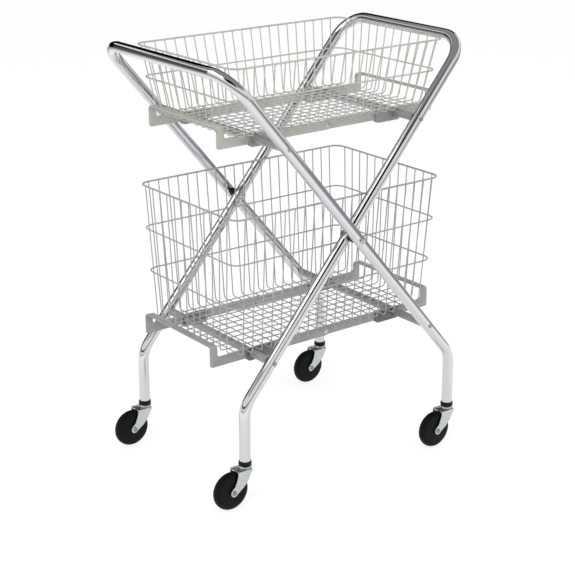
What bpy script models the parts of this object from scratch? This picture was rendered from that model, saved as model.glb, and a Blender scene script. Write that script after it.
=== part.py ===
"""Folding utility cart: two crossed tube frames on casters carry two hinged shelves with wire baskets.

Metres, +Z up. The origin is on the floor, in the middle of the bounding box. The frames cross at the
pivot axis, which runs along Y. The outer frame has its handle at -X, the inner frame at +X.
"""
import math

import bmesh
import bpy
from mathutils import Matrix, Vector

# Clearance between touching pieces, and running clearance of a pin in its bore
GAP = 0.0003
RUN = 0.0003

# Frames
TUBE_R = 0.0111
TUBE_WALL = 0.0013
INNER_HALF = 0.1791
SPACER_LONG = 0.0113
HANDLE_X = 0.297
HANDLE_Z = 0.848
FOOT_X = 0.249
FOOT_BEND_Z = 0.2025
HANDLE_BEND_R = 0.058
FOOT_BEND_R = 0.060
SOCKET_DEPTH = 0.034

# Stretchers
STRETCHER_R = 0.00795
UPPER_Z = 0.7035
LOWER_Z = 0.2785
SPIGOT_R = 0.0032
SPIGOT_HEAD_R = 0.0046
SPIGOT_HEAD_H = 0.0018

# Pivot hardware
PIVOT_R = 0.0040
PIVOT_HEAD_R = 0.0085
PIVOT_HEAD_H = 0.0032
PIVOT_NUT_R = 0.0066
PIVOT_NUT_H = 0.0035
SPACER_R = 0.0095

# Shelves, with how far each end stands out beyond the baskets' rims
UPPER_LEFT_BEYOND = 0.003
UPPER_RIGHT_BEYOND = 0.018
LOWER_LEFT_BEYOND = 0.025
LOWER_RIGHT_BEYOND = 0.0215
RAIL_OUTER_Y = 0.115
RAIL_T = 0.0030
RAIL_H = 0.019
UPRIGHT_W = 0.016
UPRIGHT_H = 0.0430
STRIP_T = 0.0024
STRIP_BEND = 0.0065
STRIP_LAP = 0.0060
LAP_RIVET_R = 0.0025
LAP_HEAD_R = 0.0055
LAP_HEAD_H = 0.0020

# Shelf brackets
BRACKET_IN = 0.052
BRACKET_OUT = 0.0115
BRACKET_SIDE = 0.0027
BRACKET_FLOOR = 0.0055

# Baskets
RIM_TO_HANDLE = 0.0299
RIM_TO_LEG = 0.0035
BASKET_RIM_R = 0.0024
BASKET_WIRE = 0.0030
UPPER_FLARE_X = 0.0195
UPPER_FLARE_Y = 0.0265
LOWER_FLARE_X = 0.0110
LOWER_FLARE_Y = 0.0245
UPPER_DEPTH = 0.136
LOWER_DEPTH = 0.280
UPPER_HOOPS = (0.538, 1.0)
LOWER_HOOPS = (0.364, 0.681, 1.0)
BASKET_CORNER = 0.022
CELLS_X = 8
CELLS_Y = 5

# Casters
WHEEL_R = 0.0381
WHEEL_W = 0.019
TRAIL = 0.035
FORK_OUT = 0.0145
FORK_T = 0.0022
CROWN_Z = 0.0755
CROWN_T = 0.0028
RACE_H = 0.0046
RACE_R = 0.0135
COLLAR_H = 0.0090
COLLAR_R = 0.0125
KING_R = 0.0045
STEM_R = 0.0050
STEM_TOP = 0.119
AXLE_R = 0.0040
HUB_R = 0.0100
AXLE_HEAD_R = 0.0050
AXLE_HEAD_H = 0.0014
AXLE_CAP_R = 0.0056
AXLE_CAP_H = 0.0020

# Derived places
OUTER_HALF = INNER_HALF + 2 * TUBE_R + SPACER_LONG
RIM_HALF_X = HANDLE_X - TUBE_R - RIM_TO_HANDLE
RIM_HALF_Y = INNER_HALF - TUBE_R - RIM_TO_LEG
LEG_SLOPE = (HANDLE_X + FOOT_X) / (HANDLE_Z - FOOT_BEND_Z)
PIVOT_Z = HANDLE_Z - HANDLE_X / LEG_SLOPE
PIVOT_X = (FOOT_X + TRAIL + WHEEL_R - HANDLE_X - TUBE_R) / 2
UPPER_X = (UPPER_Z - PIVOT_Z) * LEG_SLOPE
LOWER_X = (PIVOT_Z - LOWER_Z) * LEG_SLOPE
RACE_BOTTOM = CROWN_Z + CROWN_T + GAP
RACE_TOP = RACE_BOTTOM + RACE_H
COLLAR_BOTTOM = RACE_TOP + GAP
COLLAR_TOP = COLLAR_BOTTOM + COLLAR_H
TUBE_BOTTOM = COLLAR_TOP + GAP
LEFT_RAIL_Y = RAIL_OUTER_Y - RAIL_T / 2
RIGHT_RAIL_Y = LEFT_RAIL_Y - RAIL_T - GAP


def clear_scene():
    """Remove every object of the open scene."""
    for item in list(bpy.data.objects):
        bpy.data.objects.remove(item, do_unlink=True)


def new_collection(name):
    """A collection linked to the scene."""
    group = bpy.data.collections.new(name)
    bpy.context.scene.collection.children.link(group)
    return group


clear_scene()
PARTS = new_collection("folding_utility_cart")
CUTTERS = new_collection("cutters")


def material(name, red, green, blue, metallic, roughness):
    """A Principled material with a linear base colour."""
    mat = bpy.data.materials.new(name)
    mat.use_nodes = True
    shader = mat.node_tree.nodes["Principled BSDF"]
    shader.inputs["Base Color"].default_value = (red, green, blue, 1.0)
    shader.inputs["Metallic"].default_value = metallic
    shader.inputs["Roughness"].default_value = roughness
    return mat


CHROME = material("chrome", 0.80, 0.80, 0.82, 1.0, 0.08)
ZINC = material("zinc", 0.62, 0.65, 0.67, 1.0, 0.32)
STRETCHER_GREY = material("stretcher_grey", 0.36, 0.36, 0.37, 1.0, 0.35)
BRACKET_GREY = material("bracket_grey", 0.20, 0.20, 0.20, 0.0, 0.45)
SHELF_PALE = material("shelf_pale", 0.48, 0.48, 0.43, 0.3, 0.45)
SHELF_MID = material("shelf_mid", 0.32, 0.33, 0.33, 0.3, 0.45)
WIRE_PALE = material("wire_pale", 0.58, 0.57, 0.54, 0.5, 0.35)
WIRE_MID = material("wire_mid", 0.38, 0.39, 0.39, 0.5, 0.35)
BLACK_PLASTIC = material("black_plastic", 0.010, 0.010, 0.010, 0.0, 0.40)
WHEEL_RUBBER = material("wheel_rubber", 0.016, 0.016, 0.016, 0.0, 0.55)


def empty(name, place):
    """An axis marker that the pieces of one body hang on."""
    marker = bpy.data.objects.new(name, None)
    marker.empty_display_size = 0.03
    marker.location = place
    PARTS.objects.link(marker)
    return marker


def put(item, parent, place, finish):
    """Hang an object on its axis marker at a world place and give it its material."""
    item.parent = parent
    item.location = Vector(place) - parent.location
    item.data.materials.clear()
    item.data.materials.append(finish)
    return item


def bake(item, name):
    """Replace an object by one closed mesh of what its modifiers or curve make."""
    bpy.context.view_layer.update()
    graph = bpy.context.evaluated_depsgraph_get()
    mesh = bpy.data.meshes.new_from_object(item.evaluated_get(graph))
    work = bmesh.new()
    work.from_mesh(mesh)
    bmesh.ops.remove_doubles(work, verts=work.verts, dist=0.000002)
    bmesh.ops.recalc_face_normals(work, faces=work.faces)
    work.to_mesh(mesh)
    work.free()
    mesh.shade_smooth()
    mesh.set_sharp_from_angle(angle=math.radians(32))
    mesh.name = name
    place = item.matrix_world.copy()
    bpy.data.objects.remove(item, do_unlink=True)
    baked = bpy.data.objects.new(name, mesh)
    baked.matrix_world = place
    PARTS.objects.link(baked)
    return baked


def turn_mesh(mesh, matrix):
    """Turn or move a mesh inside its object."""
    mesh.transform(matrix)
    mesh.update()


def bore(pin, sides):
    """Corner radius of a faceted hole whose flats clear a round pin."""
    return (pin + RUN) / math.cos(math.pi / sides)


ALONG_Y = Matrix.Rotation(math.radians(-90), 4, "X")
UPRIGHT = Matrix.Rotation(math.radians(90), 4, "X")


def turned(name, profile, steps, ring):
    """A solid of revolution about Z from (radius, height) points, top to bottom on the outer side."""
    mesh = bpy.data.meshes.new(name)
    count = len(profile)
    edges = [(i, i + 1) for i in range(count - 1)]
    if ring:
        edges.append((count - 1, 0))
    mesh.from_pydata([(radius, 0.0, height) for radius, height in profile], edges, [])
    item = bpy.data.objects.new(name, mesh)
    PARTS.objects.link(item)
    screw = item.modifiers.new("revolve", "SCREW")
    screw.axis = "Z"
    screw.angle = math.radians(360)
    screw.steps = steps
    screw.render_steps = steps
    screw.use_merge_vertices = True
    screw.merge_threshold = 0.00002
    screw.use_smooth_shade = True
    return bake(item, name)


def rounded(points, radii, steps, closed):
    """Points of a path whose corners are replaced by arcs of the given radii."""
    path = []
    count = len(points)
    for i in range(count):
        here = Vector(points[i])
        radius = radii[i]
        if radius <= 0 or (not closed and i in (0, count - 1)):
            path.append(here)
            continue
        back = (Vector(points[i - 1]) - here).normalized()
        ahead = (Vector(points[(i + 1) % count]) - here).normalized()
        half = back.angle(ahead) / 2
        reach = radius / math.tan(half)
        middle = here + (back + ahead).normalized() * radius / math.sin(half)
        start = here + back * reach - middle
        sweep = math.pi - 2 * half
        side = (here + ahead * reach - middle) - start * math.cos(sweep)
        side = side / math.sin(sweep)
        for k in range(steps + 1):
            turn = sweep * k / steps
            path.append(middle + start * math.cos(turn) + side * math.sin(turn))
    return path


def tube(name, path, radius, resolution, cyclic):
    """A round bar or wire along a path, as a closed mesh."""
    curve = bpy.data.curves.new(name, "CURVE")
    curve.dimensions = "3D"
    curve.bevel_depth = radius
    curve.bevel_resolution = resolution
    curve.use_fill_caps = not cyclic
    spline = curve.splines.new("POLY")
    spline.points.add(len(path) - 1)
    for point, place in zip(spline.points, path):
        point.co = (place[0], place[1], place[2], 1.0)
    spline.use_cyclic_u = cyclic
    item = bpy.data.objects.new(name, curve)
    PARTS.objects.link(item)
    return bake(item, name)


def circle(x, z, radius, sides):
    """Points of a circle in a flat outline."""
    return [(x + radius * math.cos(2 * math.pi * k / sides), z + radius * math.sin(2 * math.pi * k / sides))
            for k in range(sides)]


def plate(name, outlines, thickness):
    """A flat plate in the XZ plane: the first outline is its edge, the others are its holes."""
    curve = bpy.data.curves.new(name, "CURVE")
    curve.dimensions = "2D"
    curve.fill_mode = "BOTH"
    curve.extrude = thickness / 2
    for outline in outlines:
        spline = curve.splines.new("POLY")
        spline.points.add(len(outline) - 1)
        for point, place in zip(spline.points, outline):
            point.co = (place[0], place[1], 0.0, 1.0)
        spline.use_cyclic_u = True
    item = bpy.data.objects.new(name, curve)
    PARTS.objects.link(item)
    item = bake(item, name)
    turn_mesh(item.data, UPRIGHT)
    return item


def block(name, size, place):
    """A box from a cube, centred on its place."""
    mesh = bpy.data.meshes.new(name)
    work = bmesh.new()
    bmesh.ops.create_cube(work, size=1.0)
    bmesh.ops.scale(work, vec=size, verts=work.verts)
    bmesh.ops.translate(work, vec=place, verts=work.verts)
    work.to_mesh(mesh)
    work.free()
    item = bpy.data.objects.new(name, mesh)
    PARTS.objects.link(item)
    return item


def rod(name, radius, length, place, sides):
    """A cylinder along Y, centred on its place."""
    mesh = bpy.data.meshes.new(name)
    work = bmesh.new()
    bmesh.ops.create_cone(work, cap_ends=True, segments=sides, radius1=radius, radius2=radius, depth=length)
    bmesh.ops.rotate(work, cent=(0, 0, 0), matrix=Matrix.Rotation(math.radians(90), 3, "X"), verts=work.verts)
    bmesh.ops.translate(work, vec=place, verts=work.verts)
    work.to_mesh(mesh)
    work.free()
    item = bpy.data.objects.new(name, mesh)
    PARTS.objects.link(item)
    return item


def cutter(item):
    """Move a tool body to the cutters."""
    PARTS.objects.unlink(item)
    CUTTERS.objects.link(item)
    item.hide_render = True
    item.display_type = "WIRE"
    return item


def combine(item, tool, operation):
    """Add a Boolean with a tool body."""
    step = item.modifiers.new(operation.lower(), "BOOLEAN")
    step.operation = operation
    step.solver = "EXACT"
    step.object = tool
    return item


def fuse(name, first, others, cuts):
    """Union some bodies, cut others out and bake the result."""
    for other in others:
        combine(first, cutter(other), "UNION")
    for other in cuts:
        combine(first, cutter(other), "DIFFERENCE")
    baked = bake(first, name)
    for other in others + cuts:
        bpy.data.objects.remove(other, do_unlink=True)
    return baked


def repeat(source, name, parent, place, finish):
    """Another piece with the same mesh."""
    item = source.copy()
    item.name = name
    PARTS.objects.link(item)
    return put(item, parent, place, finish)


# Axis markers of the bodies
ROOT = empty("axis_pivot", (PIVOT_X, 0, PIVOT_Z))
OUTER = empty("axis_frame_outer", (PIVOT_X, 0, PIVOT_Z))
INNER = empty("axis_frame_inner", (PIVOT_X, 0, PIVOT_Z))
AXES = {
    "upper_left": empty("axis_shelf_upper_left", (PIVOT_X - UPPER_X, 0, UPPER_Z)),
    "upper_right": empty("axis_shelf_upper_right", (PIVOT_X + UPPER_X, 0, UPPER_Z)),
    "lower_left": empty("axis_shelf_lower_left", (PIVOT_X - LOWER_X, 0, LOWER_Z)),
    "lower_right": empty("axis_shelf_lower_right", (PIVOT_X + LOWER_X, 0, LOWER_Z)),
}


def frame_tube(name, way, half, parent):
    """A bent tube: foot, leg, handle bar, leg, foot, with socket bores, pivot holes and stretcher holes."""
    foot = (-way * FOOT_X, TUBE_BOTTOM - PIVOT_Z, FOOT_BEND_Z - PIVOT_Z)
    top = (way * HANDLE_X, HANDLE_Z - PIVOT_Z)
    corners = [(foot[0], -half, foot[1]), (foot[0], -half, foot[2]), (top[0], -half, top[1]),
               (top[0], half, top[1]), (foot[0], half, foot[2]), (foot[0], half, foot[1])]
    radii = [0, FOOT_BEND_R, HANDLE_BEND_R, HANDLE_BEND_R, FOOT_BEND_R, 0]
    item = tube(name, rounded(corners, radii, 5, False), TUBE_R, 4, False)
    cuts = []
    for side in (-1, 1):
        hollow = bpy.data.meshes.new("hollow")
        work = bmesh.new()
        bmesh.ops.create_cone(work, cap_ends=True, segments=12, radius1=TUBE_R - TUBE_WALL,
                              radius2=TUBE_R - TUBE_WALL, depth=2 * SOCKET_DEPTH)
        bmesh.ops.translate(work, vec=(foot[0], side * half, foot[1]), verts=work.verts)
        work.to_mesh(hollow)
        work.free()
        socket = bpy.data.objects.new("hollow", hollow)
        PARTS.objects.link(socket)
        cuts.append(socket)
    long = 2 * half + 4 * TUBE_R
    cuts.append(rod("hole", bore(PIVOT_R, 12), long, (0, 0, 0), 12))
    cuts.append(rod("hole", bore(SPIGOT_R, 10), long, (way * UPPER_X, 0, UPPER_Z - PIVOT_Z), 10))
    cuts.append(rod("hole", bore(SPIGOT_R, 10), long, (-way * LOWER_X, 0, LOWER_Z - PIVOT_Z), 10))
    item = fuse(name, item, [], cuts)
    return put(item, parent, (PIVOT_X, 0, PIVOT_Z), CHROME)


frame_tube("frame_outer_tube", -1, OUTER_HALF, OUTER)
frame_tube("frame_inner_tube", 1, INNER_HALF, INNER)


def stretcher(name, half, parent, place):
    """A round bar between two legs, with a headed spigot through each leg."""
    inner = half - TUBE_R - GAP
    outer = half + TUBE_R + GAP
    end = outer + SPIGOT_HEAD_H
    right = [(0, end), (SPIGOT_HEAD_R * 0.7, end), (SPIGOT_HEAD_R, outer), (SPIGOT_R, outer),
             (SPIGOT_R, inner), (STRETCHER_R, inner)]
    profile = right + [(radius, -height) for radius, height in reversed(right)]
    item = turned(name, profile, 12, False)
    turn_mesh(item.data, ALONG_Y)
    return put(item, parent, place, STRETCHER_GREY)


stretcher("stretcher_outer_upper", OUTER_HALF, OUTER, (PIVOT_X - UPPER_X, 0, UPPER_Z))
stretcher("stretcher_outer_lower", OUTER_HALF, OUTER, (PIVOT_X + LOWER_X, 0, LOWER_Z))
stretcher("stretcher_inner_upper", INNER_HALF, INNER, (PIVOT_X + UPPER_X, 0, UPPER_Z))
stretcher("stretcher_inner_lower", INNER_HALF, INNER, (PIVOT_X - LOWER_X, 0, LOWER_Z))


def pivot_hardware(side_name, side):
    """The bolt, spacer and nut where the two frames cross."""
    head = INNER_HALF - TUBE_R - GAP
    end = OUTER_HALF + TUBE_R + GAP + PIVOT_NUT_H + 0.0012
    profile = [(0, end), (PIVOT_R * 0.7, end), (PIVOT_R, end - 0.0012), (PIVOT_R, head), (PIVOT_HEAD_R, head),
               (PIVOT_HEAD_R, head - PIVOT_HEAD_H * 0.4), (PIVOT_HEAD_R * 0.6, head - PIVOT_HEAD_H),
               (0, head - PIVOT_HEAD_H)]
    face = Matrix.Rotation(math.radians(-90 * side), 4, "X")
    bolt = turned("pivot_bolt_" + side_name, profile, 12, False)
    turn_mesh(bolt.data, face)
    put(bolt, ROOT, (PIVOT_X, 0, PIVOT_Z), ZINC)
    low = INNER_HALF + TUBE_R + GAP
    high = OUTER_HALF - TUBE_R - GAP
    hole = bore(PIVOT_R, 14)
    spacer = turned("pivot_spacer_" + side_name,
                    [(hole, high), (SPACER_R, high), (SPACER_R, low), (hole, low)], 14, True)
    turn_mesh(spacer.data, face)
    put(spacer, ROOT, (PIVOT_X, 0, PIVOT_Z), BLACK_PLASTIC)
    seat = OUTER_HALF + TUBE_R + GAP
    hole = bore(PIVOT_R, 6)
    nut = turned("pivot_nut_" + side_name,
                 [(hole, seat + PIVOT_NUT_H), (PIVOT_NUT_R * 0.92, seat + PIVOT_NUT_H),
                  (PIVOT_NUT_R, seat + PIVOT_NUT_H * 0.75), (PIVOT_NUT_R, seat), (hole, seat)], 6, True)
    turn_mesh(nut.data, face)
    put(nut, ROOT, (PIVOT_X, 0, PIVOT_Z), ZINC)


pivot_hardware("near", -1)
pivot_hardware("far", 1)


def end_strip(way, end, tip, rail_y):
    """A flat strip across a shelf's end, bent down at both sides to lie along the uprights."""
    half = rail_y + STRIP_T / 2
    inside = half - STRIP_T
    foot = tip - STRIP_BEND - STRIP_LAP
    under = tip - STRIP_T
    corners = [(-half, foot, 0), (-half, tip, 0), (half, tip, 0), (half, foot, 0),
               (inside, foot, 0), (inside, under, 0), (-inside, under, 0), (-inside, foot, 0)]
    tight = STRIP_BEND - STRIP_T
    path = rounded(corners, [0, STRIP_BEND, STRIP_BEND, 0, 0, tight, tight, 0], 3, True)
    strip = plate("end_strip", [[(point[0], point[1]) for point in path]], UPRIGHT_W - 2 * GAP)
    turn_mesh(strip.data, Matrix.Rotation(math.radians(90), 4, "Z"))
    turn_mesh(strip.data, Matrix.Translation((way * (end - UPRIGHT_W / 2), 0, 0)))
    return strip


def shelf_half(name, way, reach, end_x, rail_y, parent, place, finish):
    """Half a shelf about its stretcher axis: two flat rails, turned up at the end, joined by a bent strip."""
    low = -RAIL_H / 2
    high = RAIL_H / 2
    end = end_x - reach
    tip = low + UPRIGHT_H
    neck = tip - STRIP_BEND
    corners = [(end, low, 0), (end, neck, 0), (end - UPRIGHT_W, neck, 0), (end - UPRIGHT_W, high, 0),
               (-reach, high, 0), (-reach, low, 0)]
    edge = [(point[0], point[1]) for point in rounded(corners, [0.005, 0, 0, 0.006, 0, 0], 2, True)[:8]]
    lap = [(-reach + high * math.cos(turn), high * math.sin(turn))
           for turn in [math.pi / 2 + math.pi * k / 5 for k in range(6)]]
    outline = [(way * x, z) for x, z in edge + lap]
    holes = [circle(0, 0, bore(STRETCHER_R, 12), 12), circle(-way * reach, 0, bore(LAP_RIVET_R, 8), 8)]
    near = plate(name, [outline] + holes, RAIL_T)
    turn_mesh(near.data, Matrix.Translation((0, -rail_y, 0)))
    far = near.copy()
    far.data = near.data.copy()
    PARTS.objects.link(far)
    turn_mesh(far.data, Matrix.Translation((0, 2 * rail_y, 0)))
    item = fuse(name, near, [far, end_strip(way, end, tip, rail_y)], [])
    return put(item, parent, place, finish)


def bracket(name, way, rail_y, parent, place):
    """A saddle under the rail that guides the stretcher."""
    low = -RAIL_H / 2 - GAP - BRACKET_FLOOR
    high = RAIL_H / 2 - GAP
    width = RAIL_T + 2 * GAP + 2 * BRACKET_SIDE
    corners = [(BRACKET_OUT, low, 0), (BRACKET_OUT, high, 0), (-BRACKET_IN, high, 0), (-BRACKET_IN, low, 0)]
    edge = [(way * point[0], point[1]) for point in rounded(corners, [0.006, 0.004, 0.003, 0.008], 1, True)]
    item = plate(name, [edge, circle(0, 0, bore(STRETCHER_R, 12), 12)], width)
    slot = block("slot", (2 * (BRACKET_IN + BRACKET_OUT), RAIL_T + 2 * GAP, RAIL_H + 2 * GAP), (0, 0, GAP))
    item = fuse(name, item, [], [slot])
    return put(item, parent, (place[0], rail_y, place[2]), BRACKET_GREY)


def lap_rivet(name, side, parent, place, rail_y):
    """The headed rivet in the outer rail, at the fold."""
    face = RAIL_T / 2 + GAP
    profile = [(0, face + LAP_HEAD_H), (LAP_HEAD_R * 0.55, face + LAP_HEAD_H),
               (LAP_HEAD_R, face + LAP_HEAD_H * 0.3), (LAP_HEAD_R, face), (LAP_RIVET_R, face),
               (LAP_RIVET_R, -RAIL_T / 2), (0, -RAIL_T / 2)]
    item = turned(name, profile, 8, False)
    turn_mesh(item.data, Matrix.Rotation(math.radians(-90 * side), 4, "X"))
    return put(item, parent, (place[0], side * rail_y, place[2]), ZINC)


SHELF_ENDS = {"upper_left": RIM_HALF_X + UPPER_LEFT_BEYOND, "upper_right": RIM_HALF_X + UPPER_RIGHT_BEYOND,
              "lower_left": RIM_HALF_X + LOWER_LEFT_BEYOND, "lower_right": RIM_HALF_X + LOWER_RIGHT_BEYOND}

for level, height, reach, shade in (("upper", UPPER_Z, UPPER_X, SHELF_PALE),
                                    ("lower", LOWER_Z, LOWER_X, SHELF_MID)):
    for hand, way, rail_y in (("left", -1, LEFT_RAIL_Y), ("right", 1, RIGHT_RAIL_Y)):
        half_name = level + "_" + hand
        axis = AXES[half_name]
        spot = (PIVOT_X + way * reach, 0, height)
        shelf_half("shelf_" + half_name, way, reach, SHELF_ENDS[half_name], rail_y, axis, spot, shade)
        for side_name, side in (("near", -1), ("far", 1)):
            bracket("bracket_" + half_name + "_" + side_name, way, side * rail_y, axis, spot)
            outward = side if hand == "left" else -side
            kind = "lap_rivet_" if hand == "left" else "lap_tail_"
            rivet = lap_rivet(kind + level + "_" + side_name, outward, axis, (PIVOT_X, 0, height), rail_y)
            rivet.location.y = side * rail_y


def corner_shift(x, y, half_x, half_y):
    """Draw a rectangle's corner in, to its rounded place."""
    if abs(abs(x) - half_x) > 0.0001 or abs(abs(y) - half_y) > 0.0001:
        return x, y
    draw = BASKET_CORNER * (1 - math.sqrt(0.5))
    return math.copysign(half_x - draw, x), math.copysign(half_y - draw, y)


def basket(name, depth, shares, bottom_x, bottom_y, place, parent, finish):
    """A welded wire basket with flared walls and a heavier rim, about the middle of its underside."""
    mesh = bpy.data.meshes.new(name)
    work = bmesh.new()
    bmesh.ops.create_grid(work, x_segments=CELLS_X, y_segments=CELLS_Y, size=0.5)
    base = BASKET_WIRE / 2
    top = depth - BASKET_RIM_R * 0.3
    for vert in work.verts:
        vert.co = (vert.co.x * 2 * bottom_x, vert.co.y * 2 * bottom_y, base)
    ring = [edge for edge in work.edges if edge.is_boundary]
    wide = (bottom_x, bottom_y)
    for share in shares:
        tall = base + (top - base) * share
        next_wide = (bottom_x + (RIM_HALF_X - bottom_x) * share,
                     bottom_y + (RIM_HALF_Y - bottom_y) * share)
        made = bmesh.ops.extrude_edge_only(work, edges=ring)["geom"]
        for vert in [part for part in made if isinstance(part, bmesh.types.BMVert)]:
            vert.co = (vert.co.x * next_wide[0] / wide[0], vert.co.y * next_wide[1] / wide[1], tall)
        ring = [part for part in made if isinstance(part, bmesh.types.BMEdge) and part.is_boundary]
        wide = next_wide
    for vert in work.verts:
        share = (vert.co.z - base) / (top - base)
        half_x = bottom_x + (RIM_HALF_X - bottom_x) * share
        half_y = bottom_y + (RIM_HALF_Y - bottom_y) * share
        vert.co.x, vert.co.y = corner_shift(vert.co.x, vert.co.y, half_x, half_y)
    bmesh.ops.recalc_face_normals(work, faces=work.faces)
    work.to_mesh(mesh)
    work.free()
    item = bpy.data.objects.new(name, mesh)
    PARTS.objects.link(item)
    wire = item.modifiers.new("wires", "WIREFRAME")
    wire.thickness = BASKET_WIRE
    wire.offset = 0.0
    wire.use_boundary = True
    wire.use_replace = True
    wire.use_even_offset = True
    corners = [(RIM_HALF_X, -RIM_HALF_Y, depth), (RIM_HALF_X, RIM_HALF_Y, depth),
               (-RIM_HALF_X, RIM_HALF_Y, depth), (-RIM_HALF_X, -RIM_HALF_Y, depth)]
    rim = tube(name + "_rim", rounded(corners, [BASKET_CORNER] * 4, 4, True), BASKET_RIM_R, 1, True)
    item = fuse(name, item, [rim], [])
    return put(item, parent, place, finish)


UPPER_LIFT = empty("axis_basket_upper", (PIVOT_X, 0, UPPER_Z))
LOWER_LIFT = empty("axis_basket_lower", (PIVOT_X, 0, LOWER_Z))
basket("basket_upper", UPPER_DEPTH, UPPER_HOOPS, RIM_HALF_X - UPPER_FLARE_X, RIM_HALF_Y - UPPER_FLARE_Y,
       (PIVOT_X, 0, UPPER_Z + RAIL_H / 2 + GAP), UPPER_LIFT, WIRE_PALE)
basket("basket_lower", LOWER_DEPTH, LOWER_HOOPS, RIM_HALF_X - LOWER_FLARE_X, RIM_HALF_Y - LOWER_FLARE_Y,
       (PIVOT_X, 0, LOWER_Z + RAIL_H / 2 + GAP), LOWER_LIFT, WIRE_MID)


def caster_masters():
    """One of each caster piece: collar, stem and fork about the stem axis, the rest about the axle."""
    inside = (TUBE_R - TUBE_WALL) * math.cos(math.pi / 12) - RUN
    hole = bore(STEM_R, 14)
    top = COLLAR_TOP + SOCKET_DEPTH - 0.004
    collar = turned("collar", [(hole, top), (inside, top), (inside, COLLAR_TOP),
                               (COLLAR_R, COLLAR_TOP), (COLLAR_R, COLLAR_BOTTOM), (hole, COLLAR_BOTTOM)],
                    14, True)
    under = CROWN_Z - GAP
    stem = turned("stem", [(0, STEM_TOP), (STEM_R, STEM_TOP), (STEM_R, RACE_TOP),
                           (RACE_R - 0.002, RACE_TOP), (RACE_R, RACE_TOP - 0.002),
                           (RACE_R, RACE_BOTTOM), (KING_R, RACE_BOTTOM), (KING_R, under),
                           (KING_R + 0.0025, under), (KING_R + 0.0025, under - 0.0020), (0, under - 0.0020)],
                  14, False)
    front = 0.0085
    back = 0.0245
    crown = CROWN_Z + CROWN_T
    tip = 0.0085
    axle = (-TRAIL, WHEEL_R)
    tail = [(axle[0] + tip * math.cos(turn), axle[1] + tip * math.sin(turn))
            for turn in [math.radians(150 + 45 * k) for k in range(5)]]
    cheek = [(front, crown - 0.0035), (front - 0.003, crown), (-back, crown),
             (-back - 0.0015, CROWN_Z - 0.005), (-0.0285, 0.0620), (-0.0340, 0.0500)]
    cheek += tail + [(-0.0138, 0.0436), (-0.0033, 0.0548), (0.0049, CROWN_Z - 0.0060)]
    side = plate("cheek", [cheek, circle(axle[0], axle[1], bore(AXLE_R, 10), 10)], FORK_T)
    turn_mesh(side.data, Matrix.Translation((0, -(FORK_OUT - FORK_T / 2), 0)))
    other = side.copy()
    other.data = side.data.copy()
    PARTS.objects.link(other)
    turn_mesh(other.data, Matrix.Translation((0, 2 * FORK_OUT - FORK_T, 0)))
    corners = [(front, -FORK_OUT + 0.001, 0), (front, FORK_OUT - 0.001, 0),
               (-back, FORK_OUT - 0.001, 0), (-back, -FORK_OUT + 0.001, 0)]
    flat = [(point[0], point[1]) for point in rounded(corners, [0.0005] * 4, 1, True)]
    roof = plate("roof", [flat, circle(0, 0, bore(KING_R, 10), 10)], CROWN_T)
    turn_mesh(roof.data, Matrix.Rotation(math.radians(-90), 4, "X"))
    turn_mesh(roof.data, Matrix.Translation((0, 0, CROWN_Z + CROWN_T / 2)))
    fork = fuse("fork", side, [other, roof], [])
    inner = FORK_OUT - FORK_T - GAP
    hole = bore(AXLE_R, 20)
    rim = WHEEL_W / 2
    half = [(hole, inner), (HUB_R, inner), (HUB_R + 0.002, rim + 0.0005), (WHEEL_R - 0.008, rim),
            (WHEEL_R - 0.0025, rim - 0.0025), (WHEEL_R, rim - 0.0070)]
    wheel = turned("wheel", half + [(radius, -height) for radius, height in reversed(half)], 20, True)
    turn_mesh(wheel.data, ALONG_Y)
    out = FORK_OUT + GAP
    end = out + AXLE_CAP_H - 0.0004
    bolt = turned("bolt", [(0, out + AXLE_HEAD_H), (AXLE_HEAD_R * 0.7, out + AXLE_HEAD_H),
                           (AXLE_HEAD_R, out + AXLE_HEAD_H * 0.5), (AXLE_HEAD_R, out), (AXLE_R, out),
                           (AXLE_R, -end), (0, -end)], 10, False)
    turn_mesh(bolt.data, ALONG_Y)
    hole = bore(AXLE_R, 10)
    cap = turned("cap", [(hole, -out), (AXLE_CAP_R, -out), (AXLE_CAP_R * 0.85, -out - AXLE_CAP_H),
                         (hole, -out - AXLE_CAP_H)], 10, True)
    turn_mesh(cap.data, ALONG_Y)
    return collar, stem, fork, wheel, bolt, cap


COLLAR, STEM, FORK, WHEEL, BOLT, CAP = caster_masters()
BOLT_NEAR = BOLT.data.copy()
CAP_NEAR = CAP.data.copy()
turn_mesh(BOLT_NEAR, Matrix.Rotation(math.radians(180), 4, "Z"))
turn_mesh(CAP_NEAR, Matrix.Rotation(math.radians(180), 4, "Z"))

for frame, way, half in (("outer", 1, OUTER_HALF), ("inner", -1, INNER_HALF)):
    for side_name, side in (("near", -1), ("far", 1)):
        tag = frame + "_" + side_name
        body = OUTER if frame == "outer" else INNER
        foot = Vector((PIVOT_X + way * FOOT_X, side * half, 0))
        swivel = empty("axis_swivel_" + tag, foot)
        spin = empty("axis_axle_" + tag, foot + Vector((-TRAIL, 0, WHEEL_R)))
        repeat(COLLAR, "collar_" + tag, body, foot, BLACK_PLASTIC)
        repeat(STEM, "stem_" + tag, body, foot, ZINC)
        repeat(FORK, "fork_" + tag, swivel, foot, ZINC)
        repeat(WHEEL, "wheel_" + tag, spin, spin.location, WHEEL_RUBBER)
        bolt = repeat(BOLT, "axle_" + tag, swivel, spin.location, ZINC)
        cap = repeat(CAP, "axle_cap_" + tag, swivel, spin.location, ZINC)
        if side < 0:
            bolt.data = BOLT_NEAR
            cap.data = CAP_NEAR

for master in (COLLAR, STEM, FORK, WHEEL, BOLT, CAP):
    bpy.data.objects.remove(master, do_unlink=True)
for mesh in (BOLT_NEAR, CAP_NEAR):
    mesh.materials.clear()
    mesh.materials.append(ZINC)
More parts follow.
